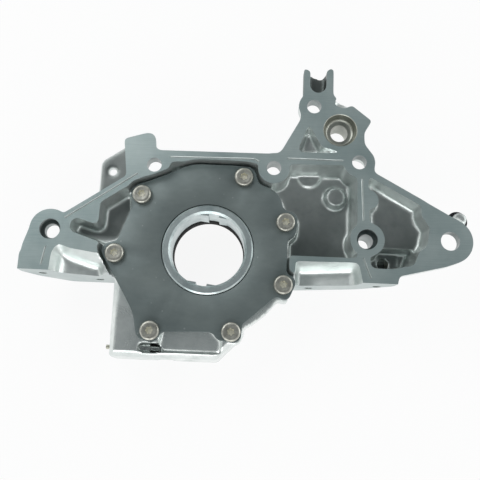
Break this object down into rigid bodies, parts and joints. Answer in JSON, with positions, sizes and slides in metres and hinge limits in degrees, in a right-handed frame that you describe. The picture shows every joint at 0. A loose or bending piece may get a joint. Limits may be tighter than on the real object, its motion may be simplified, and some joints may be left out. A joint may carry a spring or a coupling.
{
  "type": "engine oil pump",
  "caption": "Crank-driven engine oil pump: cast front housing with rotor cover, trochoid rotors, crank seal, relief valve and sump flange.",
  "frame": {"origin": "where the crankshaft axis meets the plane of the face that bolts to the engine block", "axes": "+Z along the crankshaft axis towards the engine block, +Y up with the engine installed, +X towards the long arm"},
  "size_m": [0.2718, 0.1854, 0.042],
  "materials": {
    "cast_aluminium": "sand-textured die casting with fine machined faces",
    "ground_plate": "satin ground steel, slightly blued",
    "sintered_rotor": "sintered steel, turned and ground",
    "screw_steel": "zinc-nickel plated",
    "seal_case": "pressed steel, lacquered",
    "seal_rubber": "smooth moulded",
    "spring_steel": "drawn wire",
    "hard_steel": "ground and hardened",
    "black_steel": "blackened",
    "plug_steel": "bright pressed steel"
  },
  "bodies": {
    "housing": {"pump_body": "cast_aluminium", "cover_plate": "ground_plate", "cover_screw_1": "screw_steel", "cover_screw_2": "screw_steel", "cover_screw_3": "screw_steel", "cover_screw_4": "screw_steel", "cover_screw_5": "screw_steel", "cover_screw_6": "screw_steel", "cover_screw_7": "screw_steel", "seal_case": "seal_case", "seal_lip": "seal_rubber", "garter_spring": "spring_steel", "relief_spring": "spring_steel", "relief_retainer": "plug_steel", "relief_snap_ring": "black_steel", "gallery_plug": "plug_steel", "passage_plug": "plug_steel", "arm_plug": "black_steel"},
    "drive_rotor": {"inner_rotor": "sintered_rotor"},
    "ring_rotor": {"outer_rotor": "sintered_rotor"},
    "relief_valve": {"relief_plunger": "hard_steel"}
  },
  "joints": [
    {"name": "rotor_spin", "type": "hinge", "parent": "housing", "child": "drive_rotor", "pos_m": [0, 0, 0], "axis": [0, 0, 1], "continuous": true},
    {"name": "ring_rotor_spin", "type": "hinge", "parent": "housing", "child": "ring_rotor", "pos_m": [-0.00229, -0.00161, 0], "axis": [0, 0, 1], "continuous": true},
    {"name": "relief_slide", "type": "slide", "parent": "housing", "child": "relief_valve", "axis": [-1, 0, 0], "range_m": [0, 0.009], "stiffness_N_per_m": 6000, "springref_m": -0.006, "deforming": ["relief_spring"]}
  ],
  "couplings": [
    {"joint": "ring_rotor_spin", "follows": "rotor_spin", "ratio": 0.9}
  ]
}
